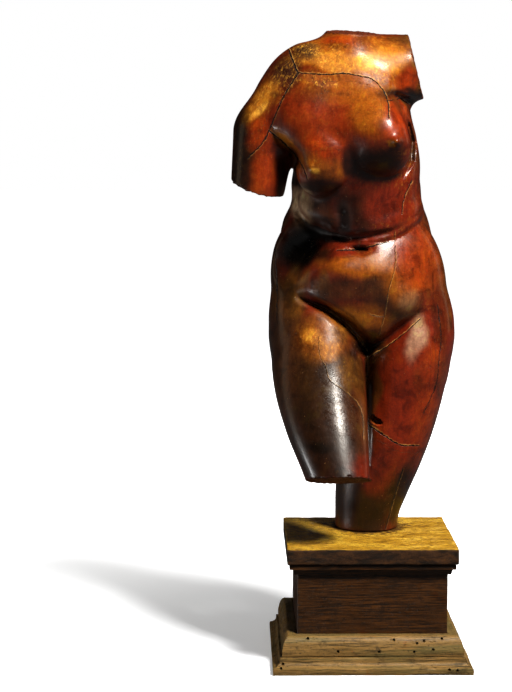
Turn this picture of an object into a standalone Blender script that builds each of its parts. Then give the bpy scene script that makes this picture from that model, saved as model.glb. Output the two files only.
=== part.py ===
"""A carved wooden venus torso on a square stepped plinth, in metres, +Z up, front at -Y."""
import math

import bmesh
import bpy
import numpy as np
import openvdb
from mathutils import Matrix

NAME = "venus_statue"

# every length of the figure is counted in parts, a hundredth of its height
FIGURE_HEIGHT = 0.465
PART = FIGURE_HEIGHT / 100

# joint left between two neighbouring pieces
FIT = 0.0004

# the plinth: a square die, a cap on it, a bed moulding under the cap and two mouldings round its foot
DIE_HALF = 0.0679
DIE_TOP = 0.0971
CAP_REACH = 0.0092
CAP_THICK = 0.0145
CAP_EASE = 0.0012
BED_REACH = 0.0070
BED_HIGH = 0.0096
UPPER_REACH = 0.0139
UPPER_HIGH = 0.0180
LOWER_REACH = 0.0221
LOWER_HIGH = 0.0146
CAP_LOW = DIE_TOP + FIT
CAP_TOP = CAP_LOW + CAP_THICK

# profiles of the mouldings, as shares of how far they reach out and how high they are
BED_PROFILE = ((0, 0), (0.386, 0), (0.486, 0.23), (0.586, 0.52), (1, 0.55), (1, 1), (0, 1))
UPPER_PROFILE = ((0, 0), (1, 0), (1, 0.28), (0.957, 0.455), (0.906, 0.622), (0.835, 0.778), (0.719, 0.911),
                 (0.59, 1), (0, 1))
LOWER_PROFILE = ((0, 0), (1, 0), (1, 0.397), (0.887, 0.452), (0.805, 0.541), (0.756, 0.616), (0.72, 0.685),
                 (0.72, 1), (0, 1))

# how fine the torso is worked out, in parts, and how many triangles it keeps
GRAIN = 0.7
TORSO_TRIANGLES = 8600

# forms with an oval section: height, sideways, front, back, half width
TRUNK = (
    (57.6, -2.4, -5.6, 6.0, 8.4),
    (58.4, -2.4, -8.0, 7.6, 10.6),
    (60, -2.4, -9.0, 8.6, 11.9),
    (64, -2.3, -9.1, 9.4, 11.9),
    (69, -2.5, -9.7, 9.6, 12.3),
    (75, -3.4, -10.6, 9.6, 12.4),
    (81, -4.4, -10.6, 10.0, 12.2),
    (87, -4.4, -9.6, 10.2, 12.4),
    (92, -3.8, -8.2, 9.0, 10.8),
    (97, -3.8, -4.6, 6.4, 5.0),
    (99, -4.2, -1.8, 4.8, 3.0),
)
NECK = (
    (90, -4.0, -7.2, 8.0, 5.8),
    (95, -4.0, -6.4, 6.6, 4.3),
    (102, -4.2, -2.8, 5.6, 3.3),
)
PELVIS = (
    (33.5, -1.1, 1.0, 7.0, 8.0),
    (35.5, -1.1, -2.6, 9.6, 12.6),
    (38, -1.1, -5.4, 11.0, 15.3),
    (42, -1.2, -7.0, 12.0, 16.7),
    (46, -1.6, -7.8, 12.6, 17.2),
    (50, -2.0, -8.0, 12.6, 17.4),
    (54, -2.3, -8.2, 12.2, 17.0),
    (58, -2.6, -8.0, 11.2, 15.8),
    (62, -2.7, -6.4, 10.0, 13.5),
    (66, -2.5, -3.8, 9.0, 10.6),
    (70, -2.8, -1.0, 7.6, 8.6),
    (74, -3.0, 1.5, 5.5, 4.0),
)
MOUND = (
    (30, -0.8, 0.0, 5.5, 1.6),
    (34, -0.6, -3.4, 6.0, 2.2),
    (37, -0.4, -6.4, 5.0, 2.6),
    (41, -0.6, -8.2, 3.0, 5.4),
    (46, -0.8, -9.2, 3.0, 9.0),
    (50, -0.8, -9.0, 3.0, 10.5),
    (53, -0.8, -7.0, 1.0, 6.0),
)
STANDING_LEG = (
    (-2, 0.1, 0.2, 13.6, 6.4),
    (2, 0.2, 0.1, 13.8, 6.4),
    (7, 1.1, -0.9, 13.8, 7.3),
    (12, 2.3, -2.0, 13.8, 8.2),
    (20, 4.7, -3.8, 13.6, 8.6),
    (28, 6.7, -5.6, 13.6, 8.6),
    (34, 7.9, -7.0, 13.2, 8.5),
    (40, 8.1, -6.4, 12.4, 8.0),
    (46, 7.6, -4.2, 10.6, 6.8),
    (52, 6.8, -1.0, 7.0, 2.5),
)
FREE_THIGH = (
    (0, -5.0, -25.8, -12.0, 5.4),
    (12, -6.4, -21.3, -7.4, 6.3),
    (22, -8.5, -17.1, -1.6, 8.2),
    (28, -9.5, -14.4, 3.0, 9.0),
    (34, -10.0, -11.8, 8.0, 9.3),
    (40, -10.2, -9.6, 10.8, 8.8),
    (46, -10.2, -6.8, 10.4, 7.4),
    (52, -9.6, -1.5, 7.6, 3.5),
)
# squareness of those sections, 2 being a plain oval
TRUNK_SQUARE = 2.25
LIMB_SQUARE = 2.1

# the front of the trunk ends in a curved fold over the belly: its middle, its rise and its slope
FOLD_MIDDLE = -3.0
FOLD_RISE = 0.03
FOLD_SLOPE = 0.05

# tapered round forms: from, to, radius there and there
RIGHT_GIRDLE = ((-13.49, 0.4, 88.97), (-4.5, 0.6, 92.1), 6, 6.4)
LEFT_GIRDLE = ((-4.5, 0.6, 92.1), (14.0, 2.4, 92.6), 6.5, 6.3)
UPPER_ARM = ((-20.66, 0.2, 79.5), (-22.75, -0.8, 63.0), 6.19, 4.85)

# rounded masses: centre, radii, turn about the upright axis, lean to the side
DELTOID = ((-17.49, 0.3, 84.53), (5.96, 5.9, 10.63), 0, -20.64)
PECTORAL = ((-12.8, -2.6, 82.4), (7.6, 7.4, 7.0), 0, -12)
RIGHT_BREAST = ((-9.6, -8.6, 72.9), (5.3, 4.8, 6.2), -20, 0)
LEFT_BREAST = ((1.2, -9.2, 77.4), (6.0, 7.1, 7.4), 18, 0)
BELLY = ((-1.8, -3.6, 50.8), (10.6, 7.2, 7.8), 0, 0)
RIGHT_BUTTOCK = ((-8.7, 6.6, 42.0), (8.2, 8.4, 9.2), 0, 0)
LEFT_BUTTOCK = ((6.6, 7.0, 41.2), (8.2, 8.4, 9.6), 0, 0)

# planes under the breasts: a point on each and the way it faces
RIGHT_UNDERSIDE = ((-9.6, -13.2, 70.8), (0, -0.7, -0.7))
LEFT_UNDERSIDE = ((1.2, -15.9, 76.3), (0, -0.7, -0.7))

# planes of the broken ends: a point on each and the way it faces
NECK_BREAK = ((-4.2, 0, 99.15), (0.05, -0.1, 1))
RIGHT_ARM_BREAK = ((-22.2, 0, 69.0), (-0.28, 0.28, -1))
LEFT_ARM_BREAK = ((8.8, 0, 93.0), (0.968, -0.085, 0.24))
LEFT_ARM_UNDERSIDE = 84.5
THIGH_BREAK = ((-6.0, -12.5, 12.3), (0, -0.26, -0.96))

# grooves: path as seen from the front with the depth at each point, and width
FRONT_GROOVES = (
    (((-15.0, 47.8, 0.0), (-12.5, 47.1, 0.9), (-9.0, 45.6, 1.6), (-4.5, 42.6, 1.8), (-1.9, 39.6, 1.8),
      (-0.6, 36.9, 1.4)), 0.85),
    (((-0.6, 36.9, 1.4), (3.0, 39.3, 1.5), (6.5, 42.3, 1.2), (9.2, 44.3, 0.6), (11.0, 45.4, 0.0)), 0.85),
    (((-0.3, 36.7, 1.0), (-0.3, 14.0, 0.6)), 0.55),
    (((-15.2, 67.5, 0.0), (-14.6, 65.0, 0.8), (-12.2, 61.2, 1.2), (-9.5, 59.9, 1.2), (-6.0, 59.3, 1.2),
      (-1.0, 59.5, 1.2), (4.0, 60.4, 0.5), (7.0, 61.6, 0.0)), 0.8),
    (((-18.5, 50.5, 0.0), (-16.4, 53.8, 3.2), (-13.8, 57.0, 4.4), (-11.0, 58.9, 4.4), (-7.6, 59.6, 1.6)), 2.9),
    (((-4.6, 57.3, 0.4), (-2.4, 57.0, 1.8), (-0.4, 57.4, 0.4)), 0.75),
    (((-6.3, 67.0, 0.0), (-6.2, 64.0, 0.7), (-6.2, 61.0, 0.5)), 1.0),
    (((-20.0, 80.6, 0.0), (-17.6, 78.0, 0.7), (-14.7, 75.2, 0.7), (-13.2, 72.0, 0.4)), 0.8),
    (((2.0, 86.6, 0.0), (4.4, 86.6, 1.1), (7.0, 85.8, 1.5), (9.4, 84.8, 1.3)), 0.8),
    (((6.0, 83.0, 0.0), (7.2, 80.8, 0.7), (8.0, 77.8, 0.9), (7.7, 74.2, 0.9), (5.8, 71.0, 0.3)), 0.6),
)
BACK_GROOVES = (
    (((-4.2, 92.0, 0.0), (-3.8, 84.0, 1.0), (-2.4, 68.0, 1.1), (-1.6, 58.0, 0.9), (-1.4, 52.0, 0.3)), 1.9),
    (((-1.1, 49.0, 0.4), (-1.1, 45.0, 2.0), (-1.0, 34.5, 2.0)), 1.1),
    (((-15.0, 35.4, 0.0), (-11.0, 33.8, 0.9), (-3.0, 34.0, 0.8)), 1.3),
    (((0.8, 33.4, 0.8), (8.5, 32.6, 0.9), (13.0, 34.2, 0.0)), 1.3),
)
# the hollow under the arm, carved before the arm is joined on
ARMPIT = (((-15.6, 72.8), (2.6, 4.6), -1.6),)
# soft swellings (a negative height sinks): middle as seen from the front, radii, height
FRONT_SWELLS = (
    ((4.0, 77.9), (0.95, 0.95), 1.0),
    ((-12.2, 72.6), (1.0, 1.0), 0.4),
    ((-2.6, 64.6), (2.6, 3.4), 0.4),
    ((-9.6, 64.4), (2.4, 3.2), 0.4),
    ((-0.3, 39.0), (2.0, 1.8), -1.2),
    ((-2.0, 49.6), (6.0, 2.2), -0.5),
    ((6.4, 46.6), (3.4, 3.6), 0.7),
    ((-6.4, 53.6), (2.8, 2.2), 0.6),
)
BACK_SWELLS = (
    ((-10.8, 82.5), (4.2, 6.0), 1.0),
    ((2.8, 83.5), (4.2, 6.0), 1.0),
    ((-4.8, 51.5), (1.5, 1.5), -0.5),
    ((1.8, 51.5), (1.5, 1.5), -0.5),
)

# room the figure is worked out in: lowest and highest corner
LOW = (-30, -20, -1.5)
HIGH = (21, 18.5, 102)

# how far two forms run into each other where they meet
SOFT = {"girdle": 3.0, "neck": 2.4, "arm": 3.0, "shoulder": 2.0, "belly": 3.0, "mound": 2.0, "buttocks": 2.4,
        "underside": 3.4, "breast": 0.8, "above_breast": 7.0, "front_waist": 0.6, "back_waist": 6.6,
        "groin": 0.5, "hip": 4.5}
EDGE = 0.2


def blend(a, b, reach):
    """Both forms together, rounded into each other where they meet."""
    near = np.clip(1 - np.abs(a - b) / reach, 0, 1)
    return np.minimum(a, b) - 0.25 * reach * near ** 2


def cut(field, p, plane, edge=EDGE):
    """The form with all beyond a plane taken off, its edge just broken."""
    point, facing = plane
    beyond = sum((p[i] - point[i]) * facing[i] for i in range(3)) / math.dist(facing, (0, 0, 0))
    near = np.clip(1 - np.abs(field - beyond) / edge, 0, 1)
    return np.maximum(field, beyond) + 0.25 * edge * near ** 2


def ramp(value, low, high):
    """From 0 at low to 1 at high, eased at both ends."""
    t = np.clip((value - low) / (high - low), 0, 1)
    return t * t * (3 - 2 * t)


def curve(at, knots, values):
    """A smooth curve through the values."""
    steps = np.diff(knots)
    slopes = np.diff(values) / steps
    inner = (slopes[:-1] * steps[1:] + slopes[1:] * steps[:-1]) / (steps[:-1] + steps[1:])
    tangents = np.concatenate([slopes[:1], inner, slopes[-1:]])
    at = np.clip(at, knots[0], knots[-1])
    i = np.clip(np.searchsorted(knots, at) - 1, 0, len(steps) - 1)
    t = (at - knots[i]) / steps[i]
    start = (1 + 2 * t) * (1 - t) ** 2 * values[i] + t * (1 - t) ** 2 * steps[i] * tangents[i]
    end = t * t * (3 - 2 * t) * values[i + 1] + t * t * (t - 1) * steps[i] * tangents[i + 1]
    return start + end


def turned(x, y, about):
    """Two coordinates seen in axes turned by so many degrees."""
    a = math.radians(about)
    return x * math.cos(a) + y * math.sin(a), y * math.cos(a) - x * math.sin(a)


def mass(p, form):
    """A rounded mass."""
    centre, radii, turn, lean = form
    x, y, z = (p[i] - centre[i] for i in range(3))
    x, y = turned(x, y, turn)
    x, z = turned(x, z, lean)
    a, b, c = radii
    once = np.sqrt((x / a) ** 2 + (y / b) ** 2 + (z / c) ** 2) + 1e-9
    twice = np.sqrt((x / a ** 2) ** 2 + (y / b ** 2) ** 2 + (z / c ** 2) ** 2) + 1e-9
    return once * (once - 1) / twice


def limb(p, table, square=LIMB_SQUARE):
    """A form with an oval section at each height."""
    height, sideways, front, back, wide = np.array(table, float).T
    z = p[2]
    middle = curve(z, height, sideways)
    near = curve(z, height, front)
    far = curve(z, height, back)
    half = curve(z, height, wide)
    deep = (far - near) / 2
    x = np.abs(p[0] - middle) / half
    y = np.abs(p[1] - (near + far) / 2) / deep
    side = ((x ** square + y ** square) ** (1 / square) - 1) * np.minimum(half, deep)
    return np.maximum(side, np.maximum(height[0] - z, z - height[-1]))


def bar(p, form):
    """A tapered round form from one point to another."""
    start, end, first, last = form
    along = np.subtract(end, start)
    t = np.clip(sum((p[i] - start[i]) * along[i] for i in range(3)) / (along @ along), 0, 1)
    away = np.sqrt(sum((p[i] - start[i] - along[i] * t) ** 2 for i in range(3)))
    return away - (first + (last - first) * t)


def groove(path, width, across, up):
    """How deep a groove is at each place, seen along the depth."""
    deepest = np.zeros(np.broadcast(across, up).shape)
    for (x0, z0, first), (x1, z1, last) in zip(path, path[1:]):
        dx, dz = x1 - x0, z1 - z0
        t = np.clip(((across - x0) * dx + (up - z0) * dz) / (dx * dx + dz * dz), 0, 1)
        away = ((across - x0 - dx * t) ** 2 + (up - z0 - dz * t) ** 2) / width ** 2
        deepest = np.maximum(deepest, (first + (last - first) * t) * np.exp(-away))
    return deepest


def carve(field, p, grooves, swells, side):
    """Grooves and soft swellings on the front (side -1) or the back (side 1)."""
    facing = ramp(side * p[1], -1, 3)
    for path, width in grooves:
        field = field + groove(path, width, p[0], p[2]) * facing
    for (x, z), (wide, tall), height in swells:
        away = ((p[0] - x) / wide) ** 2 + ((p[2] - z) / tall) ** 2
        field = field - height * np.exp(-away) * facing
    return field


def upper_body(p):
    x, y, z = p
    off = x - FOLD_MIDDLE
    folded = z - FOLD_RISE * off ** 2 * ramp(-y, -6, 2) + FOLD_SLOPE * off
    trunk = limb((x, y, folded), TRUNK, TRUNK_SQUARE)
    girdle = blend(bar(p, RIGHT_GIRDLE), bar(p, LEFT_GIRDLE), SOFT["neck"])
    trunk = blend(trunk, girdle, SOFT["girdle"])
    trunk = cut(blend(trunk, limb(p, NECK), SOFT["neck"]), p, NECK_BREAK)
    trunk = blend(trunk, mass(p, PECTORAL), SOFT["girdle"])
    trunk = carve(trunk, p, (), ARMPIT, -1)
    arm = cut(blend(mass(p, DELTOID), bar(p, UPPER_ARM), SOFT["arm"]), p, RIGHT_ARM_BREAK)
    trunk = blend(trunk, arm, SOFT["shoulder"])
    for breast, underside in ((RIGHT_BREAST, RIGHT_UNDERSIDE), (LEFT_BREAST, LEFT_UNDERSIDE)):
        # crisp under the breast, running out softly above it, less so under the arm's stump
        low = breast[0][2] - 3
        above = ramp(z, low, low + 8) * (1 - 0.8 * ramp(x, 3, 6))
        form = cut(mass(p, breast), p, underside, SOFT["underside"])
        trunk = blend(trunk, form, SOFT["breast"] + SOFT["above_breast"] * above)
    return np.where(z > LEFT_ARM_UNDERSIDE, cut(trunk, p, LEFT_ARM_BREAK), trunk)


def lower_body(p):
    x, y = p[:2]
    body = blend(limb(p, PELVIS, TRUNK_SQUARE), mass(p, BELLY), SOFT["belly"])
    body = blend(body, limb(p, MOUND, 2), SOFT["mound"])
    for buttock in (RIGHT_BUTTOCK, LEFT_BUTTOCK):
        body = blend(body, mass(p, buttock), SOFT["buttocks"])
    legs = blend(limb(p, STANDING_LEG), cut(limb(p, FREE_THIGH), p, THIGH_BREAK), SOFT["groin"])
    # the groin is crisp in front and runs out at the hips and behind
    outer = ramp(np.abs(x + 1.2), 8, 17)
    behind = 0.8 * ramp(y, -4, 6) * outer
    soft = SOFT["groin"] + (SOFT["hip"] - SOFT["groin"]) * np.maximum(outer ** 2, behind)
    return blend(body, legs, soft)


def figure(p):
    """The torso as a field, below zero inside it."""
    soft = np.maximum(ramp(p[1], -4, 7), 0.5 * ramp(p[0], -2, 9))
    waist = SOFT["front_waist"] + (SOFT["back_waist"] - SOFT["front_waist"]) * soft
    body = blend(upper_body(p), lower_body(p), waist)
    body = carve(body, p, FRONT_GROOVES, FRONT_SWELLS, -1)
    body = carve(body, p, BACK_GROOVES, BACK_SWELLS, 1)
    return cut(body, p, ((0, 0, 0), (0, 0, -1)))


def worked_out(grain):
    """Points and faces of the torso's surface, in parts."""
    axes = [np.arange(LOW[i], HIGH[i], grain) for i in range(3)]
    p = (axes[0][:, None, None], axes[1][None, :, None], axes[2][None, None, :])
    field = (figure(p) / grain).astype(np.float32)
    grid = openvdb.FloatGrid()
    grid.copyFromArray(field)
    points, quads = grid.convertToQuads(0.0)
    return points * grain + np.array(LOW), quads


def material(name, colour, roughness):
    made = bpy.data.materials.new(name)
    made.use_nodes = True
    shader = made.node_tree.nodes["Principled BSDF"]
    shader.inputs["Base Color"].default_value = (*colour, 1)
    shader.inputs["Roughness"].default_value = roughness
    made.diffuse_color = (*colour, 1)
    return made


def add(name, mesh, made_of, smooth=False):
    piece = bpy.data.objects.new(name, mesh)
    parts.objects.link(piece)
    mesh.materials.append(made_of)
    mesh.polygons.foreach_set("use_smooth", [smooth] * len(mesh.polygons))
    return piece


def box(name, low, high, made_of, ease=0.0):
    """A block between two corners, the edges of its top eased."""
    work = bmesh.new()
    bmesh.ops.create_cube(work, size=1)
    for vert in work.verts:
        vert.co = [(low[i] + high[i]) / 2 + vert.co[i] * (high[i] - low[i]) for i in range(3)]
    if ease:
        top = [edge for edge in work.edges if all(vert.co.z > high[2] - ease for vert in edge.verts)]
        bmesh.ops.bevel(work, geom=top, offset=ease, segments=2, profile=0.5, affect="EDGES")
    mesh = bpy.data.meshes.new(name)
    work.to_mesh(mesh)
    work.free()
    return add(name, mesh, made_of)


def strip(name, profile, reach, low, high, quarter, made_of):
    """One side of a moulding round the die, mitred at both ends."""
    inner = DIE_HALF + FIT
    mitre = FIT / math.sqrt(2)
    work = bmesh.new()
    ends = []
    for side in (-1, 1):
        outline = [(max(inner, DIE_HALF + out * reach), low + up * (high - low)) for out, up in profile]
        ends.append([work.verts.new((side * (r - mitre), -r, z)) for r, z in outline])
    left, right = ends
    count = len(profile)
    work.faces.new(left[::-1])
    work.faces.new(right)
    for i in range(count):
        j = (i + 1) % count
        work.faces.new((left[i], left[j], right[j], right[i]))
    bmesh.ops.recalc_face_normals(work, faces=work.faces)
    bmesh.ops.rotate(work, verts=work.verts, matrix=Matrix.Rotation(quarter * math.pi / 2, 3, "Z"))
    mesh = bpy.data.meshes.new(name)
    work.to_mesh(mesh)
    work.free()
    return add(name, mesh, made_of)


def torso(made_of):
    points, quads = worked_out(GRAIN)
    points = points * PART
    points[:, 2] = np.maximum(points[:, 2], 0) + CAP_TOP + FIT
    mesh = bpy.data.meshes.new("venus_torso")
    mesh.from_pydata(points.tolist(), [], quads.tolist())
    mesh.update()
    piece = add("venus_torso", mesh, made_of, smooth=True)
    fewer = piece.modifiers.new("fewer", "DECIMATE")
    fewer.ratio = TORSO_TRIANGLES / (2 * len(quads))
    fewer.use_collapse_triangulate = True
    return piece


for item in list(bpy.data.objects):
    bpy.data.objects.remove(item, do_unlink=True)

parts = bpy.data.collections.new(NAME)
bpy.context.scene.collection.children.link(parts)

torso_wood = material("torso_wood", (0.20, 0.045, 0.012), 0.22)
plinth_wood = material("plinth_wood", (0.055, 0.016, 0.008), 0.45)
base_wood = material("base_wood", (0.16, 0.075, 0.022), 0.4)

torso(torso_wood)
cap_half = DIE_HALF + CAP_REACH
box("plinth_cap", (-cap_half, -cap_half, CAP_LOW), (cap_half, cap_half, CAP_TOP), plinth_wood, CAP_EASE)
box("plinth_die", (-DIE_HALF, -DIE_HALF, 0), (DIE_HALF, DIE_HALF, DIE_TOP), plinth_wood)
upper_low = LOWER_HIGH + FIT
mouldings = (
    ("cap_moulding_", BED_PROFILE, BED_REACH, DIE_TOP - BED_HIGH, DIE_TOP, plinth_wood),
    ("base_moulding_upper_", UPPER_PROFILE, UPPER_REACH, upper_low, upper_low + UPPER_HIGH, base_wood),
    ("base_moulding_lower_", LOWER_PROFILE, LOWER_REACH, 0, LOWER_HIGH, base_wood),
)
for quarter, side in enumerate(("front", "right", "back", "left")):
    for name, profile, reach, low, high, made_of in mouldings:
        strip(name + side, profile, reach, low, high, quarter, made_of)
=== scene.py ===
"""The venus statue dressed: carved surfaces, finishes, floor, lights and camera, in metres."""

import math

import bmesh
import bpy
import numpy as np
import openvdb
from mathutils import Matrix, Vector


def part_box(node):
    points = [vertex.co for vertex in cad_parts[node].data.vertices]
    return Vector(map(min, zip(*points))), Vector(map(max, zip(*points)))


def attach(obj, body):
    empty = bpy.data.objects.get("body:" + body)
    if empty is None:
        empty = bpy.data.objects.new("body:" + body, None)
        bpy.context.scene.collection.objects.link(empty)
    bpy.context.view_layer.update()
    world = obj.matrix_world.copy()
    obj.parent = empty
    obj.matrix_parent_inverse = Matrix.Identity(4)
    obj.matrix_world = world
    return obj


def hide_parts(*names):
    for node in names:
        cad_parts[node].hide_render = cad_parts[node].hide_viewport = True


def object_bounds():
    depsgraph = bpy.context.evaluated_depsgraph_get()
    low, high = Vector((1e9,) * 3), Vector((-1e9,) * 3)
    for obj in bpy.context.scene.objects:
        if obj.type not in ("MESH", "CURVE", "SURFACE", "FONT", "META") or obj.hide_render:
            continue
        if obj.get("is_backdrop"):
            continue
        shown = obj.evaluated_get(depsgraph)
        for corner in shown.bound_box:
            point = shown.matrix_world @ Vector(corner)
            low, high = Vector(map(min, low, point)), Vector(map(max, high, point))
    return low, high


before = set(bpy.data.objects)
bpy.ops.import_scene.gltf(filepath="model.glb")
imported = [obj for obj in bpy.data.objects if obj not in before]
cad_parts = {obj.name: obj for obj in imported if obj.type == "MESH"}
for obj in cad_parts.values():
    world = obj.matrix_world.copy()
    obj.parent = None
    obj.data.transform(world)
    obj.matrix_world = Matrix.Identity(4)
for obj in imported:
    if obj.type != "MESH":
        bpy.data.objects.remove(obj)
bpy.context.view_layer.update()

# every length of the figure is counted in parts, a hundredth of its height
FIGURE_HEIGHT = 0.465
PART = FIGURE_HEIGHT / 100

# joint left between two neighbouring pieces
FIT = 0.0004

# the plinth: a square die, a bed moulding under its cap and two mouldings round its foot
DIE_HALF = 0.0679
DIE_TOP = 0.0971
BED_REACH = 0.0070
BED_HIGH = 0.0096
UPPER_REACH = 0.0139
UPPER_HIGH = 0.0180
LOWER_REACH = 0.0221
LOWER_HIGH = 0.0146

# profiles of the mouldings, as shares of how far they reach out and how high they are
BED_PROFILE = ((0, 0), (0.386, 0), (0.486, 0.23), (0.586, 0.52), (1, 0.55), (1, 1), (0, 1))
UPPER_PROFILE = ((0, 0), (1, 0), (1, 0.28), (0.957, 0.455), (0.906, 0.622), (0.835, 0.778), (0.719, 0.911),
                 (0.59, 1), (0, 1))
LOWER_PROFILE = ((0, 0), (1, 0), (1, 0.397), (0.887, 0.452), (0.805, 0.541), (0.756, 0.616), (0.72, 0.685),
                 (0.72, 1), (0, 1))

# how fine the torso is worked out and the step that its normals are measured over, in parts,
# the least slope that is counted, and the share of a cell that a point may be moved
GRAIN = 0.4
NUDGE = 0.06
LEAST_SLOPE = 0.2
MOST_MOVED = 0.3

# forms with an oval section: height, sideways, front, back, half width
TRUNK = (
    (57.6, -2.4, -5.6, 6.0, 8.4),
    (58.4, -2.4, -8.0, 7.6, 10.6),
    (60, -2.4, -9.0, 8.6, 11.9),
    (64, -2.3, -9.1, 9.4, 11.9),
    (69, -2.5, -9.7, 9.6, 12.3),
    (75, -3.4, -10.6, 9.6, 12.4),
    (81, -4.4, -10.6, 10.0, 12.2),
    (87, -4.4, -9.6, 10.2, 12.4),
    (92, -3.8, -8.2, 9.0, 10.8),
    (97, -3.8, -4.6, 6.4, 5.0),
    (99, -4.2, -1.8, 4.8, 3.0),
)
NECK = (
    (90, -4.0, -7.2, 8.0, 5.8),
    (95, -4.0, -6.4, 6.6, 4.3),
    (102, -4.2, -2.8, 5.6, 3.3),
)
PELVIS = (
    (33.5, -1.1, 1.0, 7.0, 8.0),
    (35.5, -1.1, -2.6, 9.6, 12.6),
    (38, -1.1, -5.4, 11.0, 15.3),
    (42, -1.2, -7.0, 12.0, 16.7),
    (46, -1.6, -7.8, 12.6, 17.2),
    (50, -2.0, -8.0, 12.6, 17.4),
    (54, -2.3, -8.2, 12.2, 17.0),
    (58, -2.6, -8.0, 11.2, 15.8),
    (62, -2.7, -6.4, 10.0, 13.5),
    (66, -2.5, -3.8, 9.0, 10.6),
    (70, -2.8, -1.0, 7.6, 8.6),
    (74, -3.0, 1.5, 5.5, 4.0),
)
MOUND = (
    (30, -0.8, 0.0, 5.5, 1.6),
    (34, -0.6, -3.4, 6.0, 2.2),
    (37, -0.4, -6.4, 5.0, 2.6),
    (41, -0.6, -8.2, 3.0, 5.4),
    (46, -0.8, -9.2, 3.0, 9.0),
    (50, -0.8, -9.0, 3.0, 10.5),
    (53, -0.8, -7.0, 1.0, 6.0),
)
STANDING_LEG = (
    (-2, 0.1, 0.2, 13.6, 6.4),
    (2, 0.2, 0.1, 13.8, 6.4),
    (7, 1.1, -0.9, 13.8, 7.3),
    (12, 2.3, -2.0, 13.8, 8.2),
    (20, 4.7, -3.8, 13.6, 8.6),
    (28, 6.7, -5.6, 13.6, 8.6),
    (34, 7.9, -7.0, 13.2, 8.5),
    (40, 8.1, -6.4, 12.4, 8.0),
    (46, 7.6, -4.2, 10.6, 6.8),
    (52, 6.8, -1.0, 7.0, 2.5),
)
FREE_THIGH = (
    (0, -5.0, -25.8, -12.0, 5.4),
    (12, -6.4, -21.3, -7.4, 6.3),
    (22, -8.5, -17.1, -1.6, 8.2),
    (28, -9.5, -14.4, 3.0, 9.0),
    (34, -10.0, -11.8, 8.0, 9.3),
    (40, -10.2, -9.6, 10.8, 8.8),
    (46, -10.2, -6.8, 10.4, 7.4),
    (52, -9.6, -1.5, 7.6, 3.5),
)
# squareness of those sections, 2 being a plain oval
TRUNK_SQUARE = 2.25
LIMB_SQUARE = 2.1

# the front of the trunk ends in a curved fold over the belly: its middle, its rise and its slope
FOLD_MIDDLE = -3.0
FOLD_RISE = 0.03
FOLD_SLOPE = 0.05

# tapered round forms: from, to, radius there and there
RIGHT_GIRDLE = ((-13.49, 0.4, 88.97), (-4.5, 0.6, 92.1), 6, 6.4)
LEFT_GIRDLE = ((-4.5, 0.6, 92.1), (14.0, 2.4, 92.6), 6.5, 6.3)
UPPER_ARM = ((-20.66, 0.2, 79.5), (-22.75, -0.8, 63.0), 6.19, 4.85)

# rounded masses: centre, radii, turn about the upright axis, lean to the side
DELTOID = ((-17.49, 0.3, 84.53), (5.96, 5.9, 10.63), 0, -20.64)
PECTORAL = ((-12.8, -2.6, 82.4), (7.6, 7.4, 7.0), 0, -12)
RIGHT_BREAST = ((-9.6, -8.6, 72.9), (5.3, 4.8, 6.2), -20, 0)
LEFT_BREAST = ((1.2, -9.2, 77.4), (6.0, 7.1, 7.4), 18, 0)
BELLY = ((-1.8, -3.6, 50.8), (10.6, 7.2, 7.8), 0, 0)
RIGHT_BUTTOCK = ((-8.7, 6.6, 42.0), (8.2, 8.4, 9.2), 0, 0)
LEFT_BUTTOCK = ((6.6, 7.0, 41.2), (8.2, 8.4, 9.6), 0, 0)

# planes under the breasts: a point on each and the way it faces
RIGHT_UNDERSIDE = ((-9.6, -13.2, 70.8), (0, -0.7, -0.7))
LEFT_UNDERSIDE = ((1.2, -15.9, 76.3), (0, -0.7, -0.7))

# planes of the broken ends: a point on each and the way it faces
NECK_BREAK = ((-4.2, 0, 99.15), (0.05, -0.1, 1))
RIGHT_ARM_BREAK = ((-22.2, 0, 69.0), (-0.28, 0.28, -1))
LEFT_ARM_BREAK = ((8.8, 0, 93.0), (0.968, -0.085, 0.24))
LEFT_ARM_UNDERSIDE = 84.5
THIGH_BREAK = ((-6.0, -12.5, 12.3), (0, -0.26, -0.96))

# grooves: path as seen from the front with the depth at each point, and width
FRONT_GROOVES = (
    (((-15.0, 47.8, 0.0), (-12.5, 47.1, 0.9), (-9.0, 45.6, 1.6), (-4.5, 42.6, 1.8), (-1.9, 39.6, 1.8),
      (-0.6, 36.9, 1.4)), 0.85),
    (((-0.6, 36.9, 1.4), (3.0, 39.3, 1.5), (6.5, 42.3, 1.2), (9.2, 44.3, 0.6), (11.0, 45.4, 0.0)), 0.85),
    (((-0.3, 36.7, 1.0), (-0.3, 14.0, 0.6)), 0.55),
    (((-15.2, 67.5, 0.0), (-14.6, 65.0, 0.8), (-12.2, 61.2, 1.2), (-9.5, 59.9, 1.2), (-6.0, 59.3, 1.2),
      (-1.0, 59.5, 1.2), (4.0, 60.4, 0.5), (7.0, 61.6, 0.0)), 0.8),
    (((-18.5, 50.5, 0.0), (-16.4, 53.8, 3.2), (-13.8, 57.0, 4.4), (-11.0, 58.9, 4.4),
      (-7.6, 59.6, 1.6)), 2.9),
    (((-4.6, 57.3, 0.4), (-2.4, 57.0, 1.8), (-0.4, 57.4, 0.4)), 0.75),
    (((-6.3, 67.0, 0.0), (-6.2, 64.0, 0.7), (-6.2, 61.0, 0.5)), 1.0),
    (((-20.0, 80.6, 0.0), (-17.6, 78.0, 0.7), (-14.7, 75.2, 0.7), (-13.2, 72.0, 0.4)), 0.8),
    (((2.0, 86.6, 0.0), (4.4, 86.6, 1.1), (7.0, 85.8, 1.5), (9.4, 84.8, 1.3)), 0.8),
    (((6.0, 83.0, 0.0), (7.2, 80.8, 0.7), (8.0, 77.8, 0.9), (7.7, 74.2, 0.9), (5.8, 71.0, 0.3)), 0.6),
)
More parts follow.
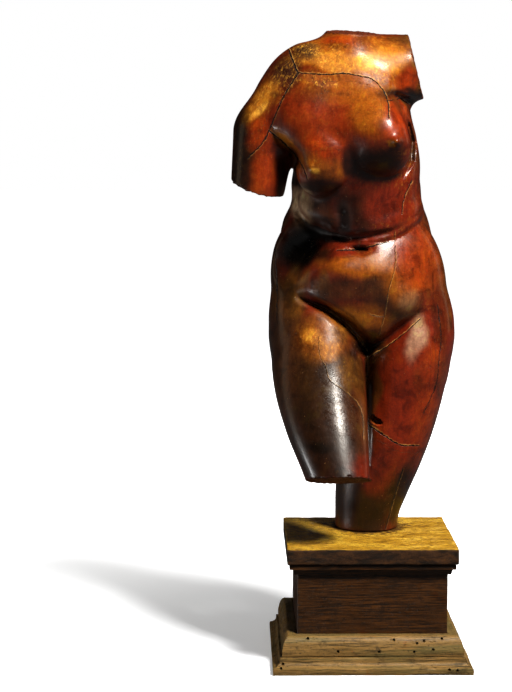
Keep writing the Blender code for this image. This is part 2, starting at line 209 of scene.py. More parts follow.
BACK_GROOVES = (
    (((-4.2, 92.0, 0.0), (-3.8, 84.0, 1.0), (-2.4, 68.0, 1.1), (-1.6, 58.0, 0.9), (-1.4, 52.0, 0.3)), 1.9),
    (((-1.1, 49.0, 0.4), (-1.1, 45.0, 2.0), (-1.0, 34.5, 2.0)), 1.1),
    (((-15.0, 35.4, 0.0), (-11.0, 33.8, 0.9), (-3.0, 34.0, 0.8)), 1.3),
    (((0.8, 33.4, 0.8), (8.5, 32.6, 0.9), (13.0, 34.2, 0.0)), 1.3),
)
# the hollow under the arm, carved before the arm is joined on
ARMPIT = (((-15.6, 72.8), (2.6, 4.6), -1.6),)
# soft swellings (a negative height sinks): middle as seen from the front, radii, height
FRONT_SWELLS = (
    ((4.0, 77.9), (0.95, 0.95), 1.0),
    ((-12.2, 72.6), (1.0, 1.0), 0.4),
    ((-2.6, 64.6), (2.6, 3.4), 0.4),
    ((-9.6, 64.4), (2.4, 3.2), 0.4),
    ((-0.3, 39.0), (2.0, 1.8), -1.2),
    ((-2.0, 49.6), (6.0, 2.2), -0.5),
    ((6.4, 46.6), (3.4, 3.6), 0.7),
    ((-6.4, 53.6), (2.8, 2.2), 0.6),
)
BACK_SWELLS = (
    ((-10.8, 82.5), (4.2, 6.0), 1.0),
    ((2.8, 83.5), (4.2, 6.0), 1.0),
    ((-4.8, 51.5), (1.5, 1.5), -0.5),
    ((1.8, 51.5), (1.5, 1.5), -0.5),
)

# room the figure is worked out in: lowest and highest corner
LOW = (-30, -20, -1.5)
HIGH = (21, 18.5, 102)

# how far two forms run into each other where they meet
SOFT = {"girdle": 3.0, "neck": 2.4, "arm": 3.0, "shoulder": 2.0, "belly": 3.0, "mound": 2.0,
        "buttocks": 2.4, "underside": 3.4, "breast": 0.8, "above_breast": 7.0, "front_waist": 0.6,
        "back_waist": 6.6, "groin": 0.5, "hip": 4.5}
EDGE = 0.2

# how deep the broken ends are roughened, in parts
ROUGH = 0.3

# small holes: centre, radii, turn about the upright axis, lean to the side
HOLES = (
    ((-2.2, -8.6, 57.15), (1.5, 2.6, 0.42), 0, -6),
    ((-2.4, -9.6, 57.25), (2.2, 1.6, 0.62), 0, -6),
    ((1.3, -4.6, 22.9), (1.25, 2.6, 0.75), 0, -20),
    ((0.7, -4.4, 23.3), (0.7, 2.6, 0.9), 0, 10),
)

# the photograph's frame and the camera it was seen from
WIDE = 512
TALL = 692
FOCAL = 2042
CAMERA_PLACE = (-0.124, -1.871, 0.487)
CAMERA_TILT = math.pi / 2 - math.radians(6.11)
CAMERA_TURN = math.radians(-0.61)
CAMERA_AXES = Matrix.Rotation(CAMERA_TURN, 3, "Z") @ Matrix.Rotation(CAMERA_TILT, 3, "X")

# the middle of the lit object and how far the lights are from it
LIT = (0, 0, 0.3)
LIGHTS_AWAY = 2.4

# the floor: its reach, its glow at the object, where the glow starts to rise and where it is full,
# and its paleness and glow for light that doesn't come to the camera; the lower glow at the object is
# painted shade that deepens the cast shadow
FLOOR_REACH = 14
FLOOR_GLOW = 0.38
FLOOR_SHADE = (0.1, 0.75)
FLOOR_BOUNCE = 0.07
FLOOR_DIM = 0.04

# the sky's strength off camera
SKY_DIM = 0.015

# the side cards' warm tone
WARM_TONE = (1, 0.86, 0.62)

# below one it deepens the dark tones, as in the photograph
CONTRAST = 0.85

# how far up the torso's foot is measured, for the dark ring around it of debris and painted contact shade
FOOT_EDGE = 0.003

# cap and die: the step of their mesh, how far their arrises are worn, and how rough they are
CAP_SKIN = (0.0016, 0.0016, 0.0004)
DIE_SKIN = (0.0022, 0.0008, 0.0002)

# mouldings: the step of their profiles, the columns along them, how often the worn profile is eased,
# where the wear starts and is full, measured out from the die, and how rough they are
MOULDING_STEP = 0.0009
MOULDING_COLUMNS = 96
EASINGS = 5
WEAR_FROM = 0.0005
WEAR_FULL = 0.002
MOULDING_ROUGH = 0.00025

# wormholes: depth, radius, how far the cutter stands out, and tries on each unseen side
WORM_DEPTH = 0.005
WORM_RADIUS = 0.0013
WORM_CLEAR = 0.004
WORM_TRIES = 9

# how far a face is turned to the camera where paint starts and where it is full
FACING = (0.02, 0.4)

# clouds of colour and wear on the torso, and how many pixels the painted areas' edges wander
TINT_CLOUD = 0.045
SHADE_CLOUD = 0.028
WEAR_CLOUD = 0.05
EDGE_CLOUD = 0.022
EDGE_WANDER = 16

# numbers that scatter the soft noise
NOISE_PRIMES = (73856093, 19349663, 83492791)
NOISE_MIX = 1274126177
NOISE_SHIFT = 7.31

# colours as they would look in even light, 0 to 255; on the torso some serve as painted shade and painted
# highlights
TINTS = {
    "red": (108, 32, 11),
    "flame": (142, 50, 9),
    "ember": (120, 42, 11),
    "rust": (104, 40, 12),
    "brown": (68, 37, 16),
    "olive": (104, 66, 20),
    "dark": (40, 21, 8),
    "deep": (30, 18, 6),
    "gold": (172, 108, 24),
    "straw": (214, 156, 56),
    "amber": (138, 74, 16),
    "pale": (190, 142, 78),
    # dark red: the wood's own colour in places, and painted shade between and under the breasts, on the
    # ribs and in the low belly hollow
    "mahogany_and_painted_shade": (52, 18, 8),
    # grey tint used only for a painted highlight on the lower right belly
    "ash": (150, 122, 90),
    # pale tint used only for painted highlights and a painted reflection on the torso
    "painted_highlight_pale": (206, 176, 140),
    "crimson": (136, 44, 15),
    # very dark tint used only for painted shade: under the breasts, the stump and the arm, on the ribs and
    # on the shank
    "painted_shade_dark": (34, 14, 6),
    "umber": (120, 84, 70),
    "warm": (255, 190, 130),
    "umber_wood": (74, 46, 22),
    # black for cracks, chips, specks and pores, and for painted shade in the flank hollow, the fold, the
    # groin and the armpit
    "black_and_painted_shade": (8, 4, 2),
    "cap_dark": (84, 52, 14),
    "ochre": (190, 144, 40),
    "bright_ochre": (232, 192, 72),
    "die": (84, 50, 18),
    "die_dark": (28, 16, 6),
    "die_red": (58, 33, 10),
    "base": (138, 107, 60),
    "base_dark": (56, 44, 24),
    "base_olive": (104, 96, 58),
}

# painted areas, some of them painted shade, painted shadow, painted light and painted highlights, as seen
# in the photograph: middle, reach across and down, turn, colour, strength, speckle
PATCHES = (
    (330, 122, 66, 54, 0, "ember", 0.9, 0.25),
    (340, 88, 44, 16, 0, "amber", 0.8, 0.45),
    (368, 108, 24, 28, -20, "amber", 0.95, 0.4),
    (309, 96, 20, 10, 0, "mahogany_and_painted_shade", 0.4, 0.3),
    (316, 82, 22, 8, 6, "amber", 0.8, 1.0),
    (352, 48, 62, 18, 4, "amber", 0.9, 0.6),
    (338, 41, 20, 6, -4, "flame", 0.8, 0.3),
    (340, 64, 50, 11, 4, "gold", 0.95, 1.0),
    (374, 62, 20, 12, 0, "straw", 0.6, 0.9),
    (392, 60, 16, 14, 0, "gold", 0.9, 0.6),
    (382, 77, 16, 12, 20, "amber", 0.8, 1.0),
    (306, 48, 16, 9, 28, "olive", 0.9, 1.0),
    (301, 53, 15, 8, 28, "dark", 0.6, 1.0),
    (407, 80, 16, 16, 0, "flame", 0.9, 0.1),
    # painted shade under the left arm's stump and in the dark gap below it
    (404, 97, 24, 8, 4, "painted_shade_dark", 0.95, 0.0),
    (411, 114, 5, 12, 0, "black_and_painted_shade", 0.85, 0.0),
    (284, 74, 16, 22, 35, "brown", 0.8, 1.0),
    (262, 102, 11, 28, 35, "gold", 0.9, 1.0),
    (274, 100, 5, 26, 30, "rust", 0.7, 0.6),
    (259, 112, 4, 14, 40, "straw", 0.8, 1.0),
    (257, 132, 12, 16, 30, "flame", 0.85, 0.4),
    # painted shade on the arm's outer side, over its mottled dark colour
    (238, 150, 9, 50, 6, "painted_shade_dark", 0.85, 0.3),
    (263, 170, 14, 30, 4, "flame", 0.8, 0.3),
    # painted shade on the arm's inner side, toward the trunk
    (280, 172, 7, 26, -4, "painted_shade_dark", 0.9, 0.0),
    (286, 142, 18, 7, 48, "gold", 0.85, 0.7),
    (318, 150, 18, 14, 0, "flame", 0.85, 0.35),
    (308, 168, 18, 16, 30, "amber", 0.85, 0.6),
    (332, 172, 14, 14, 0, "amber", 0.7, 0.2),
    # painted light on the right breast's lower side, which the lamps leave too dark
    (302, 176, 8, 9, 20, "flame", 0.7, 0.5),
    # painted shadow between the breasts, cast by the left breast
    (347, 162, 9, 16, 8, "mahogany_and_painted_shade", 0.95, 0.0),
    (345, 164, 6, 12, 8, "painted_shade_dark", 0.6, 0.0),
    (398, 120, 12, 26, 0, "flame", 0.8, 0.1),
    # painted shadow under the left breast
    (374, 166, 28, 17, -12, "painted_shade_dark", 0.95, 0.0),
    # painted shade under the right breast
    (320, 188, 28, 8, 10, "mahogany_and_painted_shade", 0.9, 0.0),
    # painted shade on the front of the lower ribs, which face down
    (346, 210, 44, 26, 0, "mahogany_and_painted_shade", 0.9, 0.1),
    (360, 206, 20, 18, 0, "painted_shade_dark", 0.65, 0.0),
    # painted shade in the groove down the middle of the ribs
    (344, 219, 6, 15, 0, "black_and_painted_shade", 0.6, 0.0),
    # painted reflection: a grey sheen on the left side of the ribs
    (301, 211, 12, 24, -6, "painted_highlight_pale", 0.8, 0.0),
    (322, 216, 14, 20, 0, "brown", 0.6, 0.0),
    # painted shade in the crease under the right breast
    (312, 191, 14, 4, 10, "painted_shade_dark", 0.7, 0.0),
    (388, 206, 26, 20, 0, "red", 0.85, 0.05),
    (411, 196, 12, 30, 0, "red", 0.85, 0.35),
    (350, 240, 44, 8, 0, "red", 0.85, 0.2),
    (358, 265, 42, 12, 0, "amber", 0.9, 0.3),
    (352, 288, 50, 12, 0, "brown", 0.85, 0.1),
    # painted shade in the hollow between the belly and the mound
    (352, 304, 42, 10, 0, "mahogany_and_painted_shade", 0.4, 0.1),
    (352, 322, 44, 18, 0, "amber", 0.85, 0.1),
    # painted light on the low belly, which lies in the shade of the belly above it
    (346, 320, 22, 11, 0, "gold", 0.55, 0.0),
    (404, 282, 24, 26, -20, "amber", 0.7, 0.3),
    # painted highlight on the lower right belly
    (409, 298, 13, 9, -20, "ash", 0.3, 0.0),
    (420, 258, 24, 36, 0, "flame", 0.75, 0.25),
    (440, 330, 16, 64, 0, "red", 0.85, 0.3),
    (443, 310, 10, 30, 0, "mahogany_and_painted_shade", 0.5, 0.1),
    (408, 345, 26, 26, -30, "red", 0.85, 0.1),
    # painted highlight on the top of the left thigh
    (417, 338, 9, 24, 14, "painted_highlight_pale", 0.34, 0.0),
    (398, 410, 30, 62, 0, "crimson", 0.9, 0.1),
    (426, 400, 14, 60, 8, "flame", 0.7, 0.3),
    (443, 385, 6, 60, 0, "rust", 0.8, 0.3),
    (284, 300, 20, 22, 0, "olive", 0.75, 0.2),
    (280, 372, 20, 90, 0, "brown", 0.85, 0.1),
    (330, 405, 38, 84, 0, "deep", 0.9, 0.0),
    (330, 400, 24, 56, -14, "brown", 0.35, 0.05),
    (318, 342, 27, 22, 20, "amber", 0.6, 0.8),
    (312, 338, 13, 9, 20, "gold", 0.7, 1.0),
    (328, 352, 10, 14, 30, "gold", 0.55, 1.0),
    (338, 334, 8, 10, 30, "olive", 0.6, 0.6),
    (346, 372, 13, 18, -30, "olive", 0.6, 0.6),
    (363, 400, 6, 50, -4, "olive", 0.4, 0.3),
    (352, 425, 14, 40, -6, "brown", 0.5, 0.1),
    (322, 455, 36, 34, 0, "dark", 0.9, 0.0),
    (375, 388, 6, 40, 0, "olive", 0.6, 0.1),
    # painted shade on the standing leg's shank below the free thigh
    (368, 505, 26, 36, 0, "painted_shade_dark", 0.95, 0.1),
    (378, 472, 20, 26, 0, "red", 0.8, 0.1),
    (402, 494, 9, 34, 12, "dark", 0.95, 0.1),
    # painted shadow in the flank hollow under the ribs and along the fold over the belly, and painted shade
    # at the groin's apex
    (302, 247, 32, 25, -38, "black_and_painted_shade", 1.0, 0.0),
    (286, 286, 13, 22, -20, "black_and_painted_shade", 0.7, 0.0),
    (332, 234, 28, 4, 8, "black_and_painted_shade", 0.8, 0.0),
    (366, 346, 16, 8, 0, "black_and_painted_shade", 0.85, 0.0),
    (393.5, 142.5, 4, 4, 0, "gold", 0.95, 0.2),
    (311, 169, 6, 4, 20, "straw", 0.8, 0.6),
    (318, 445, 12, 6, 10, "black_and_painted_shade", 0.75, 0.1),
    (341, 473, 7, 8, 0, "black_and_painted_shade", 0.65, 0.4),
)

# where the lacquer is duller, or glossier below zero: middle, reach across and down, turn, amount
DULLED = (
    (397, 62, 16, 9, 0, 0.55),
    (388, 130, 11, 13, 30, 0.3),
    (304, 298, 9, 9, 0, 2.0),
    (318, 208, 12, 18, 0, 0.9),
    (300, 248, 24, 20, -38, -0.4),
    (328, 317, 12, 7, 35, 1.0),
    (344, 218, 10, 18, 0, 2.4),
    (305, 177, 7, 6, 0, 1.0),
    (385, 252, 12, 12, 0, 0.3),
    (325, 233, 34, 6, 6, 1.0),
    (385, 231, 34, 5, -8, 0.8),
    (338, 404, 20, 46, -14, -0.3),
    (350, 458, 14, 24, -8, 0.1),
    (383, 262, 16, 14, 0, 0.3),
)

# cracks and joints on each side: group, half width, pale rim and path in the photograph's pixels
SEAM_REACH = 7.0
FAR_OFF = 1e9
FRONT_SEAMS = (
    (0, 0.8, 0.8, ((289, 50), (293, 61), (298, 73))),
    (1, 0.55, 0.7, ((298, 73), (311, 74), (330, 74.5), (343, 73.4), (362, 76.4), (370, 78), (379, 85),
                    (386, 96), (388, 103), (389, 117))),
    (2, 0.4, 0.2, ((387.5, 101), (395, 99.5), (402, 98.4))),
    (2, 0.6, 0.3, ((298, 73), (284, 96), (273, 121), (269, 131), (263, 142), (248, 158))),
    (0, 0.6, 0.6, ((269, 131), (277, 137), (296, 156), (303, 167), (307, 178))),
    (0, 0.6, 0.3, ((338, 250.4), (352, 250), (366, 248), (380, 244), (392.3, 241.7))),
    (1, 0.2, 0.6, ((394.6, 232), (393.8, 273), (389, 287), (385, 312), (379, 335))),
    (0, 0.28, 0.0, ((437.5, 305), (441, 341), (439, 359), (437, 381), (424, 413))),
    (2, 0.22, 0.4, ((319, 337), (320, 357), (325, 366), (328, 378), (343, 390), (359, 406), (363, 420),
                    (363, 439.5))),
    (1, 0.65, 1.0, ((369.7, 425.4), (385, 436), (400.3, 445), (418, 445.8))),
    (2, 0.28, 0.5, ((412, 181), (406, 193), (403, 203), (402, 213.5))),
    (0, 0.35, 0.0, ((275, 248), (277, 285), (277, 319))),
    (0, 0.45, 0.3, ((402.9, 469.4), (394, 498), (385.6, 528))),
    (1, 0.35, 0.3, ((415.6, 472), (408, 498), (400, 525))),
    (1, 0.12, 0.0, ((428, 318), (431, 352), (429, 392))),
    (2, 0.12, 0.0, ((434, 322), (436, 360), (433, 400))),
    (1, 0.3, 0.9, ((308, 304), (331, 314), (350, 331), (363, 346), (370, 357))),
    (2, 0.3, 0.9, ((370, 357), (388, 346), (406, 332), (420, 319))),
    (0, 0.2, 0.9, ((368, 314), (376, 316.5), (385, 317))),
)
BACK_SEAMS = (
    (0, 0.6, 0.4, ((268, 96), (300, 84), (336, 82), (372, 88), (404, 84))),
    (1, 0.5, 0.3, ((376, 92), (384, 130), (380, 172), (386, 214))),
    (2, 0.5, 0.3, ((312, 262), (306, 300), (310, 342), (302, 380))),
    (1, 0.4, 0.2, ((412, 300), (416, 350), (410, 404), (414, 446))),
)

# wormholes in the front of the base, as measured in the photograph
WORMHOLES = (
    (288, 637.6), (302, 637), (308, 639), (394, 640), (417, 643), (424, 641), (442, 639), (433, 649),
    (414, 651), (379, 651), (338, 651), (334, 656.7), (369, 656), (411, 657), (461, 656), (283, 664.5),
    (281, 668), (457, 669.4), (449, 668.8),
)


def blend(a, b, reach):
    """Both forms together, rounded into each other where they meet."""
    near = np.clip(1 - np.abs(a - b) / reach, 0, 1)
    return np.minimum(a, b) - 0.25 * reach * near ** 2


def crumbled(p):
    """An uneven field between 0 and 1, for broken wood."""
    x, y, z = p
    a = np.sin(1.9 * x + 1.3 * np.sin(1.1 * z + 0.7 * y)) * np.sin(2.3 * y + 1.1 * np.sin(1.3 * x))
    b = np.sin(4.3 * x + 2.1 * y) * np.sin(3.9 * z - 2.7 * y + 1.9 * x)
    return 0.5 + 0.3 * a + 0.2 * b


def cut(field, p, plane, edge=EDGE, rough=0.0):
    """The form with all beyond a plane taken off, its edge just broken."""
    point, facing = plane
    beyond = sum((p[i] - point[i]) * facing[i] for i in range(3)) / math.dist(facing, (0, 0, 0))
    if rough:
        beyond = beyond + rough * crumbled(p)
    near = np.clip(1 - np.abs(field - beyond) / edge, 0, 1)
    return np.maximum(field, beyond) + 0.25 * edge * near ** 2


def ramp(value, low, high):
    """From 0 at low to 1 at high, eased at both ends."""
    t = np.clip((value - low) / (high - low), 0, 1)
    return t * t * (3 - 2 * t)


def curve(at, knots, values):
    """A smooth curve through the values."""
    steps = np.diff(knots)
    slopes = np.diff(values) / steps
    inner = (slopes[:-1] * steps[1:] + slopes[1:] * steps[:-1]) / (steps[:-1] + steps[1:])
    tangents = np.concatenate([slopes[:1], inner, slopes[-1:]])
    at = np.clip(at, knots[0], knots[-1])
    i = np.clip(np.searchsorted(knots, at) - 1, 0, len(steps) - 1)
    t = (at - knots[i]) / steps[i]
    start = (1 + 2 * t) * (1 - t) ** 2 * values[i] + t * (1 - t) ** 2 * steps[i] * tangents[i]
    end = t * t * (3 - 2 * t) * values[i + 1] + t * t * (t - 1) * steps[i] * tangents[i + 1]
    return start + end


def turned(x, y, about):
    """Two coordinates seen in axes turned by so many degrees."""
    a = math.radians(about)
    return x * math.cos(a) + y * math.sin(a), y * math.cos(a) - x * math.sin(a)


def mass(p, form):
    """A rounded mass."""
    centre, radii, turn, lean = form
    x, y, z = (p[i] - centre[i] for i in range(3))
    x, y = turned(x, y, turn)
    x, z = turned(x, z, lean)
    a, b, c = radii
    once = np.sqrt((x / a) ** 2 + (y / b) ** 2 + (z / c) ** 2) + 1e-9
    twice = np.sqrt((x / a ** 2) ** 2 + (y / b ** 2) ** 2 + (z / c ** 2) ** 2) + 1e-9
    return once * (once - 1) / twice


def limb(p, table, square=LIMB_SQUARE):
    """A form with an oval section at each height."""
    height, sideways, front, back, wide = np.array(table, float).T
    z = p[2]
    middle, near, far, half = (curve(z, height, each) for each in (sideways, front, back, wide))
    deep = (far - near) / 2
    x = np.abs(p[0] - middle) / half
    y = np.abs(p[1] - (near + far) / 2) / deep
    side = ((x ** square + y ** square) ** (1 / square) - 1) * np.minimum(half, deep)
    return np.maximum(side, np.maximum(height[0] - z, z - height[-1]))


def bar(p, form):
    """A tapered round form from one point to another."""
    start, end, first, last = form
    along = np.subtract(end, start)
    t = np.clip(sum((p[i] - start[i]) * along[i] for i in range(3)) / (along @ along), 0, 1)
    away = np.sqrt(sum((p[i] - start[i] - along[i] * t) ** 2 for i in range(3)))
    return away - (first + (last - first) * t)


def groove(path, width, across, up):
    """How deep a groove is at each place, seen along the depth."""
    deepest = np.zeros(np.broadcast(across, up).shape)
    for (x0, z0, first), (x1, z1, last) in zip(path, path[1:]):
        dx, dz = x1 - x0, z1 - z0
        t = np.clip(((across - x0) * dx + (up - z0) * dz) / (dx * dx + dz * dz), 0, 1)
        away = ((across - x0 - dx * t) ** 2 + (up - z0 - dz * t) ** 2) / width ** 2
        deepest = np.maximum(deepest, (first + (last - first) * t) * np.exp(-away))
    return deepest


def carve(field, p, grooves, swells, side):
    """Grooves and soft swellings on the front (side -1) or the back (side 1)."""
    facing = ramp(side * p[1], -1, 3)
    for path, width in grooves:
        field = field + groove(path, width, p[0], p[2]) * facing
    for (x, z), (wide, tall), height in swells:
        away = ((p[0] - x) / wide) ** 2 + ((p[2] - z) / tall) ** 2
        field = field - height * np.exp(-away) * facing
    return field


def upper_body(p):
    """The trunk with the neck, the shoulders, the arm and the breasts."""
    x, y, z = p
    off = x - FOLD_MIDDLE
    folded = z - FOLD_RISE * off ** 2 * ramp(-y, -6, 2) + FOLD_SLOPE * off
    trunk = limb((x, y, folded), TRUNK, TRUNK_SQUARE)
    girdle = blend(bar(p, RIGHT_GIRDLE), bar(p, LEFT_GIRDLE), SOFT["neck"])
    trunk = blend(trunk, girdle, SOFT["girdle"])
    trunk = cut(blend(trunk, limb(p, NECK), SOFT["neck"]), p, NECK_BREAK, rough=ROUGH)
    trunk = blend(trunk, mass(p, PECTORAL), SOFT["girdle"])
    trunk = carve(trunk, p, (), ARMPIT, -1)
    arm = cut(blend(mass(p, DELTOID), bar(p, UPPER_ARM), SOFT["arm"]), p, RIGHT_ARM_BREAK, rough=ROUGH)
    trunk = blend(trunk, arm, SOFT["shoulder"])
    for breast, underside in ((RIGHT_BREAST, RIGHT_UNDERSIDE), (LEFT_BREAST, LEFT_UNDERSIDE)):
        # crisp under the breast, running out softly above it, less so under the arm's stump
        low = breast[0][2] - 3
        above = ramp(z, low, low + 8) * (1 - 0.8 * ramp(x, 3, 6))
        form = cut(mass(p, breast), p, underside, SOFT["underside"])
        trunk = blend(trunk, form, SOFT["breast"] + SOFT["above_breast"] * above)
    return np.where(z > LEFT_ARM_UNDERSIDE, cut(trunk, p, LEFT_ARM_BREAK, rough=ROUGH), trunk)


def lower_body(p):
    """The pelvis with the belly, the buttocks and the legs."""
    x, y = p[:2]
    body = blend(limb(p, PELVIS, TRUNK_SQUARE), mass(p, BELLY), SOFT["belly"])
    body = blend(body, limb(p, MOUND, 2), SOFT["mound"])
    for buttock in (RIGHT_BUTTOCK, LEFT_BUTTOCK):
        body = blend(body, mass(p, buttock), SOFT["buttocks"])
    thigh = cut(limb(p, FREE_THIGH), p, THIGH_BREAK, rough=ROUGH)
    legs = blend(limb(p, STANDING_LEG), thigh, SOFT["groin"])
    # the groin is crisp in front and runs out at the hips and behind
    outer = ramp(np.abs(x + 1.2), 8, 17)
    behind = 0.8 * ramp(y, -4, 6) * outer
    soft = SOFT["groin"] + (SOFT["hip"] - SOFT["groin"]) * np.maximum(outer ** 2, behind)
    return blend(body, legs, soft)


def figure(p):
    """The torso as a field, below zero inside it."""
    soft = np.maximum(ramp(p[1], -4, 7), 0.5 * ramp(p[0], -2, 9))
    waist = SOFT["front_waist"] + (SOFT["back_waist"] - SOFT["front_waist"]) * soft
    body = blend(upper_body(p), lower_body(p), waist)
    body = carve(body, p, FRONT_GROOVES, FRONT_SWELLS, -1)
    body = carve(body, p, BACK_GROOVES, BACK_SWELLS, 1)
    return cut(body, p, ((0, 0, 0), (0, 0, -1)))


def carved(p):
    """The figure with the small holes where the wood has broken out."""
    field = figure(p)
    for hole in HOLES:
        field = np.maximum(field, -mass(p, hole))
    return field


def torso_points():
    """The figure's finest surface: points and outward normals in parts, and faces."""
    axes = [np.arange(LOW[i], HIGH[i], GRAIN) for i in range(3)]
    p = (axes[0][:, None, None], axes[1][None, :, None], axes[2][None, None, :])
    grid = openvdb.FloatGrid()
    grid.copyFromArray((carved(p) / GRAIN).astype(np.float32))
    points, quads = grid.convertToQuads(0.0)
    points = points * GRAIN + np.array(LOW)
    slope = np.empty_like(points)
    for i in range(3):
        step = np.zeros(3)
        step[i] = NUDGE
        slope[:, i] = (carved((points + step).T) - carved((points - step).T)) / (2 * NUDGE)
    size = np.linalg.norm(slope, axis=1)
    size = np.maximum(size, LEAST_SLOPE)
    off = np.clip(carved(points.T) / size, -MOST_MOVED * GRAIN, MOST_MOVED * GRAIN)
    normals = slope / size[:, None]
    return points - normals * off[:, None], normals, quads


def seen(points):
    """Where points show in the photograph's frame, in its pixels."""
    local = (points - np.array(CAMERA_PLACE)) @ np.array(CAMERA_AXES)
    return (WIDE / 2 - FOCAL * local[:, 0] / local[:, 2], TALL / 2 + FOCAL * local[:, 1] / local[:, 2])


def place_of(across, down, depth):
    """Where a pixel of the photograph meets the upright plane at that depth."""
    ray = CAMERA_AXES @ Vector(((across - WIDE / 2) / FOCAL, (TALL / 2 - down) / FOCAL, -1))
    at = Vector(CAMERA_PLACE)
    return at + ray * ((depth - at.y) / ray.y)


def cloud(points, size, seed):
    """Soft noise between 0 and 1."""
    q = points / size + seed * NOISE_SHIFT
    cell = np.floor(q).astype(np.int64)
    t = q - cell
    t = t * t * (3 - 2 * t)
    total = np.zeros(len(points))
    for corner in range(8):
        step = np.array((corner & 1, corner >> 1 & 1, corner >> 2))
        c = (cell + step) * NOISE_PRIMES
        h = c[:, 0] ^ c[:, 1] ^ c[:, 2]
        h = ((h ^ (h >> 13)) * NOISE_MIX) & 0xFFFFFFF
        value = ((h ^ (h >> 15)) & 0xFFFF) / 0xFFFF
        total += value * np.prod(np.where(step, t, 1 - t), axis=1)
    return total


def clouds(points, size, seed):
    """Noise of three sizes together."""
    shares = (0.57, 0.29, 0.14)
    return sum(share * cloud(points, size / 2 ** i, seed + i) for i, share in enumerate(shares))


def linear(colour):
    """A colour given as 0 to 255, for the shaders."""
    return [(c / 255 / 12.92) if c < 11 else ((c / 255 + 0.055) / 1.055) ** 2.4 for c in colour]


def softened(path):
    """The path as a smooth line of short steps."""
    path = np.array(path, float)
    knots = np.concatenate([[0], np.cumsum(np.linalg.norm(np.diff(path, axis=0), axis=1))])
    if len(path) < 3:
        return path
    along = np.linspace(0, knots[-1], max(3, int(knots[-1] / 4)))
    return np.stack([curve(along, knots, path[:, 0]), curve(along, knots, path[:, 1])], axis=1)


def seam_distance(path, across, down):
    """How far each point is from the line, with a sign for its side, and how far past its ends."""
    best = np.full(len(across), FAR_OFF)
    signed = np.zeros(len(across))
    past = np.zeros(len(across))
    last = len(path) - 2
    for i, (a, b) in enumerate(zip(path, path[1:])):
        size = math.dist(a, b)
        dx, dy = (b - a) / size
        u, v = across - a[0], down - a[1]
        t = u * dx + v * dy
        near = np.clip(t, 0, size)
        away = np.hypot(u - dx * near, v - dy * near)
        over = np.maximum(-t if i == 0 else 0, t - size if i == last else 0)
        closer = away < best
        best = np.where(closer, away, best)
        signed = np.where(closer, u * dy - v * dx, signed)
        past = np.where(closer, np.maximum(over, 0), past)
    return best, signed, past


def painted(points, normals):
    """The torso's colour with its painted shade and highlights, wear, dullness and cracks at each point, by
    name.
    """
    across, down = seen(points)
    to_camera = np.array(CAMERA_PLACE) - points
    to_camera /= np.linalg.norm(to_camera, axis=1)[:, None]
    towards = (normals * to_camera).sum(axis=1)
    facing = ramp(towards, *FACING)
    away_facing = ramp(-towards, *FACING)
    tall = points * (1, 1, 0.45)
    first = clouds(tall, TINT_CLOUD, 1)
    second = clouds(tall, SHADE_CLOUD, 5)
    red, brown, olive, dark = (np.array(linear(TINTS[name])) for name in ("red", "brown", "olive", "dark"))
    tint = red + (brown - red) * ramp(first, 0.42, 0.62)[:, None]
    tint = tint + (olive - tint) * (0.8 * ramp(second, 0.56, 0.7))[:, None]
    tint = tint + (dark - tint) * (0.75 * ramp(1 - second, 0.56, 0.72))[:, None]
    worn = 0.08 + 0.45 * ramp(clouds(points, WEAR_CLOUD, 9), 0.5, 0.75)
    u = across + EDGE_WANDER * (clouds(points, EDGE_CLOUD, 12) - 0.5)
    v = down + EDGE_WANDER * (clouds(points, EDGE_CLOUD, 15) - 0.5)
    for x, y, wide, high, turn, name, strength, speckle in PATCHES:
        a, b = turned(u - x, v - y, turn)
        share = strength * facing * (1 - ramp(np.hypot(a / wide, b / high), 0.5, 1.3))
        tint = tint + (np.array(linear(TINTS[name])) - tint) * share[:, None]
        worn = worn + (speckle - worn) * share
    matt = np.zeros(len(points))
    for x, y, wide, high, turn, amount in DULLED:
        a, b = turned(across - x, down - y, turn)
        matt += amount * facing * (1 - ramp(np.hypot(a / wide, b / high), 0.4, 1.2))
    line = np.full((len(points), 3), SEAM_REACH)
    width = np.zeros((len(points), 3))
    rims = np.zeros((len(points), 3))
    nearest = np.full((len(points), 3), FAR_OFF)
    for side, seams in ((facing, FRONT_SEAMS), (away_facing, BACK_SEAMS)):
        for group, thick, rim, path in seams:
            away, signed, past = seam_distance(softened(path), across, down)
            closer = (away < SEAM_REACH) & (away < nearest[:, group]) & (side > 0)
            nearest[closer, group] = away[closer]
            line[:, group] = np.where(closer, signed, line[:, group])
            width[:, group] = np.where(closer, thick * ramp(-past, -2.5, 1.0) * side, width[:, group])
            rims[:, group] = np.where(closer, rim, rims[:, group])
    tint = np.hstack([tint, np.ones((len(tint), 1))])
    worn = np.clip(worn, 0, 1)
    return {"tint": tint, "worn": worn, "matt": matt, "line": line, "width": width, "rims": rims}


def broken(points, normals):
    """1 on the broken ends and 0 elsewhere."""
    p = points.T
    raw = np.zeros(len(points))
    ends = (
        (NECK_BREAK, np.abs(p[0] + 4.2) < 6),
        (RIGHT_ARM_BREAK, p[0] < -15.5),
        (LEFT_ARM_BREAK, p[2] > LEFT_ARM_UNDERSIDE),
        (THIGH_BREAK, (p[0] < 0.2) & (p[1] < -6) & (p[2] > 5)),
    )
    for (point, way), here in ends:
        way = np.array(way) / math.dist(way, (0, 0, 0))
        beyond = (points - point) @ way
        raw = np.maximum(raw, here * ramp(beyond, -0.7, -0.3) * ramp(normals @ way, 0.6, 0.9))
    return raw


def set_values(mesh, name, values):
    """Stores a number, a vector or a colour for each vertex."""
    kinds = {1: ("FLOAT", "value"), 3: ("FLOAT_VECTOR", "vector"), 4: ("FLOAT_COLOR", "color")}
    kind, field = kinds[values.size // len(values)]
    made = mesh.attributes.new(name, kind, "POINT")
    made.data.foreach_set(field, np.ascontiguousarray(values, dtype=np.float32).ravel())


